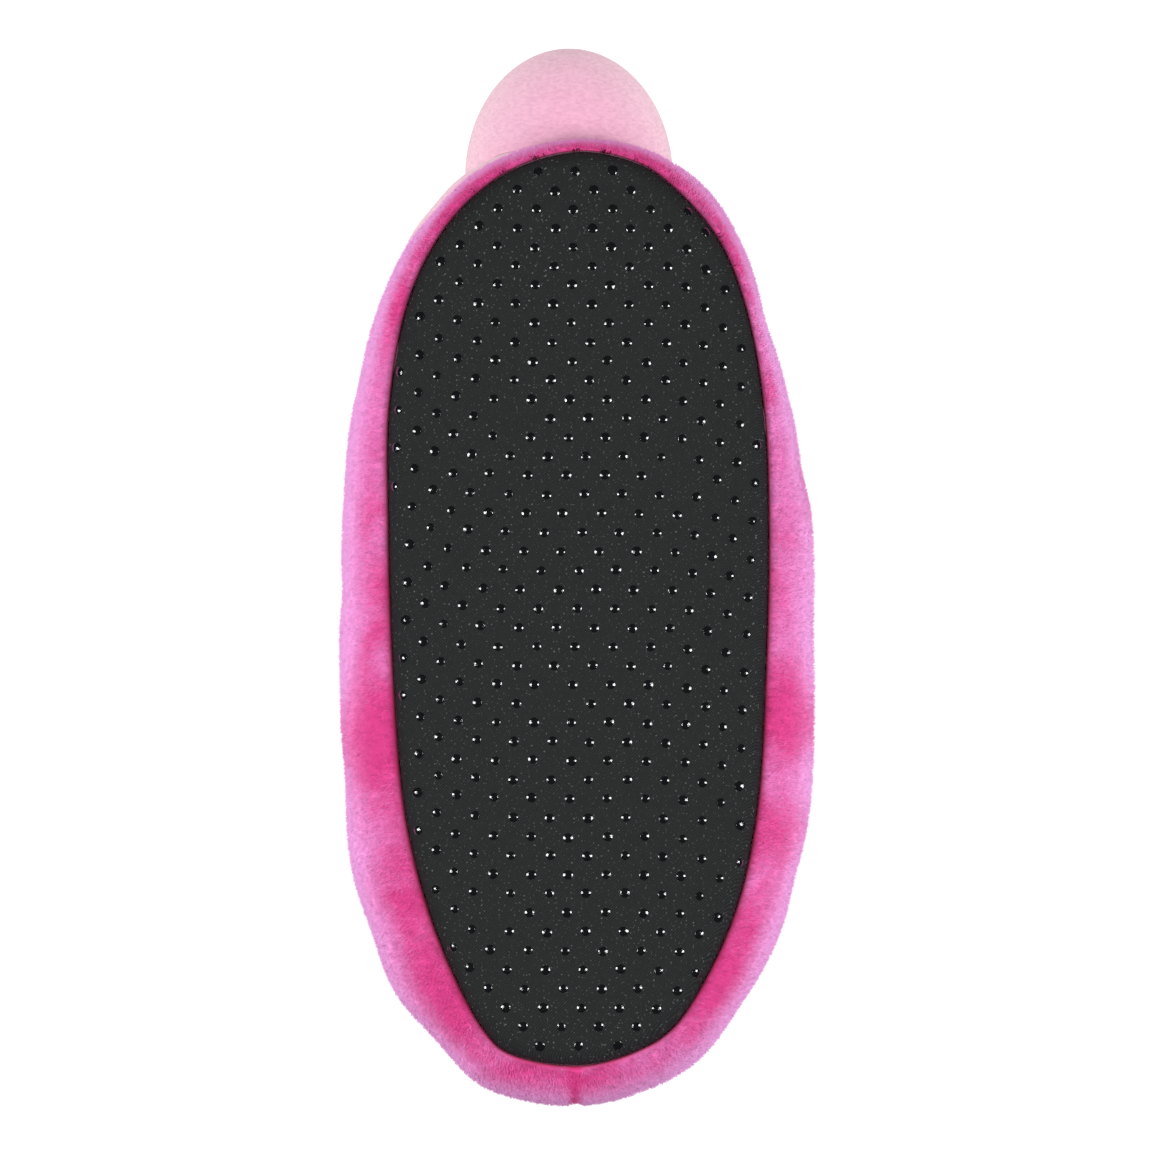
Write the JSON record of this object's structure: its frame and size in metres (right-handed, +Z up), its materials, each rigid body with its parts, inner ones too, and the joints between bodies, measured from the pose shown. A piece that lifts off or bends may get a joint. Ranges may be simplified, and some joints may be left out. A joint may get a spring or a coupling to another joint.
{
  "type": "animal slipper",
  "caption": "plush animal slipper with padded hollow upper, stuffed muzzle past the toe, folded ears and a black cloth sole with grip dots, lying on its side",
  "frame": {"origin": "centre of the bounding box in plan, on the floor that the slipper's left side lies on", "axes": "+X from heel to toe, +Z up from the floor, and the sole faces -Y, turned up by 12 degrees"},
  "size_m": [0.2864, 0.1184, 0.1266],
  "materials": {
    "hot_pink_plush": "short velour pile",
    "light_pink_plush": "very short smooth pile",
    "sole_cloth": "matt twill with glossy grip dots",
    "lining": "fleece",
    "bead": "gloss",
    "thread": "satin stitch"
  },
  "bodies": {
    "root": {"outsole": "sole_cloth", "footbed": "lining", "upper": "hot_pink_plush", "face_patch": "light_pink_plush", "muzzle": "light_pink_plush", "nostril_left": "thread", "nostril_right": "thread", "eye_left": "bead", "eye_right": "bead", "ear_left": "hot_pink_plush", "ear_right": "hot_pink_plush", "ear_lining_left": "light_pink_plush", "ear_lining_right": "light_pink_plush"}
  },
  "joints": []
}
